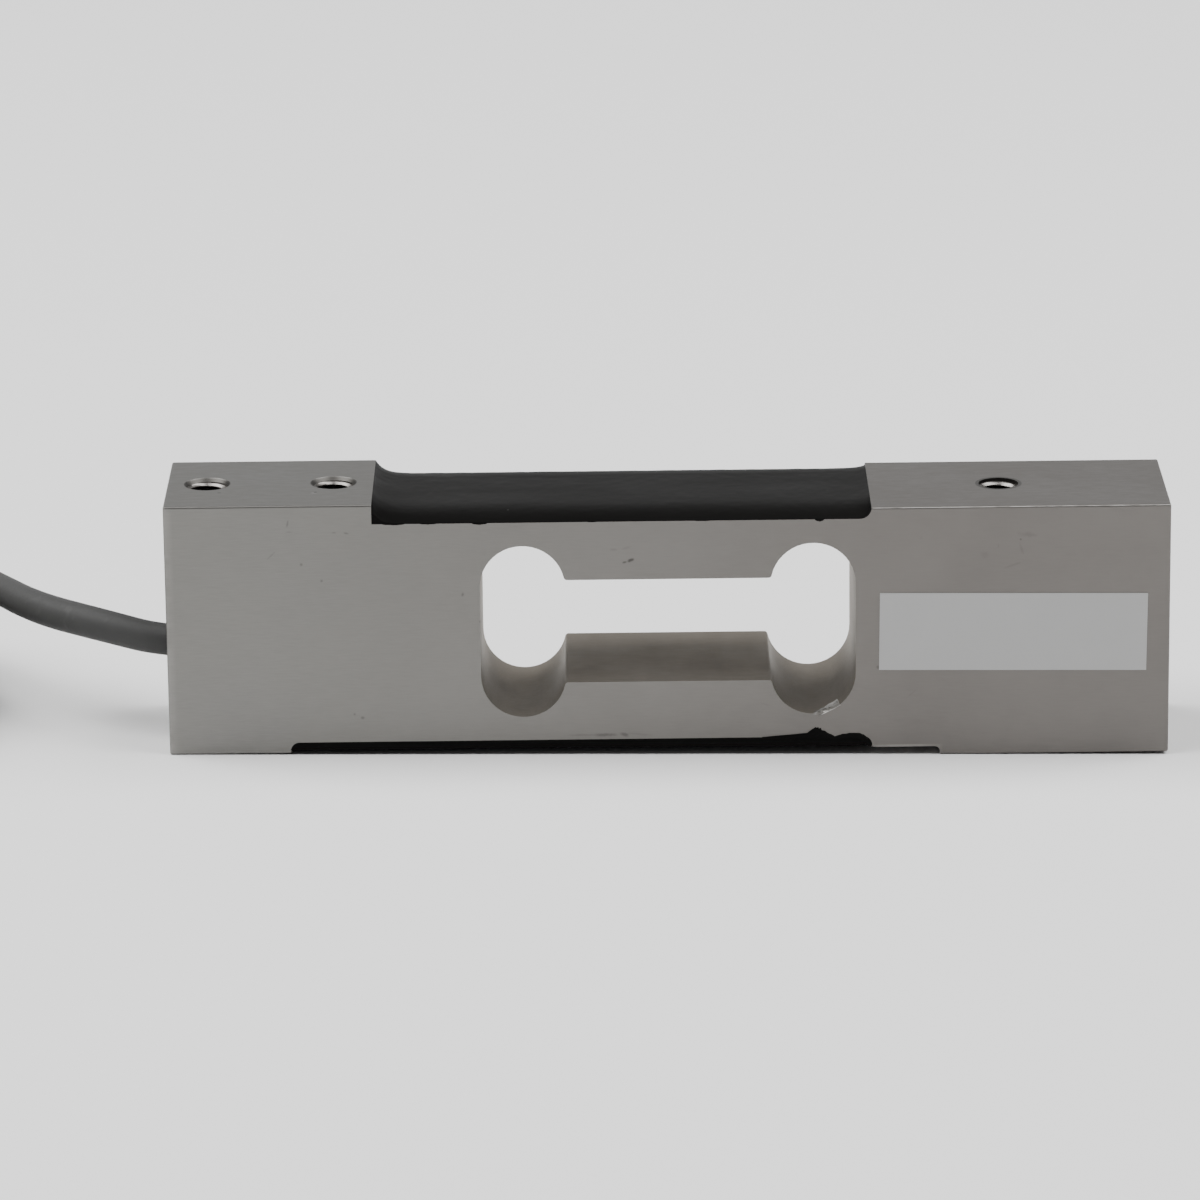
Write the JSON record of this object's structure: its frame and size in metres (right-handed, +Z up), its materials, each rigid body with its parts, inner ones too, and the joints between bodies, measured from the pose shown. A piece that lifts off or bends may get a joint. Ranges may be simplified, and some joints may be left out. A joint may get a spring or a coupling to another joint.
{
  "type": "single point load cell",
  "caption": "Aluminium bending-beam load cell with a dog-bone cut-out, tapped fixing pads, potted strain-gauge recesses and a fixed grey signal cable.",
  "frame": {"origin": "middle of the beam's length and width, at the level of the load pad's underside", "axes": "+X along the beam away from the cable, +Y away from the labelled face, +Z up"},
  "size_m": [0.2412, 0.06, 0.04],
  "materials": {
    "beam": "fine milled, dulled by handling",
    "silicone": "soft black silicone, satin",
    "gauge": "amber film with foil grid",
    "circuit_board": "green glass-fibre board",
    "chip": "ceramic chip",
    "bare_wire": "tinned copper",
    "insulation_red": "smooth insulation",
    "insulation_black": "smooth insulation",
    "insulation_green": "smooth insulation",
    "insulation_white": "smooth insulation",
    "insulation_clear": "yellow sleeve over the drain wire",
    "cable_jacket": "matt grey flexible jacket",
    "shrink_sleeve": "shrink tubing",
    "label_foil": "bare silver-grey foil"
  },
  "bodies": {
    "root": {"beam_body": "beam", "gauge_top_left": "gauge", "gauge_top_right": "gauge", "gauge_bottom_left": "gauge", "gauge_bottom_right": "gauge", "gauge_wires_top_left": "bare_wire", "gauge_wires_top_right": "bare_wire", "gauge_wires_bottom_left": "bare_wire", "gauge_wires_bottom_right": "bare_wire", "bridge_board": "circuit_board", "terminal_board_bottom": "circuit_board", "zero_trim_resistor": "chip", "span_trim_resistor": "chip", "core_red": "insulation_red", "core_black": "insulation_black", "core_green": "insulation_green", "core_white": "insulation_white", "cross_wire_supply": "insulation_red", "cross_wire_signal": "insulation_green", "cross_wire_return": "insulation_black", "potting_top": "silicone", "potting_bottom": "silicone", "cable_seal": "silicone", "label": "label_foil", "cable": "cable_jacket", "cable_coil": "cable_jacket", "cable_tail": "cable_jacket", "lead_sleeve": "shrink_sleeve", "lead_red": "insulation_red", "lead_black": "insulation_black", "lead_green": "insulation_green", "lead_white": "insulation_white", "lead_shield": "insulation_clear", "tinned_tips": "bare_wire"}
  },
  "joints": []
}
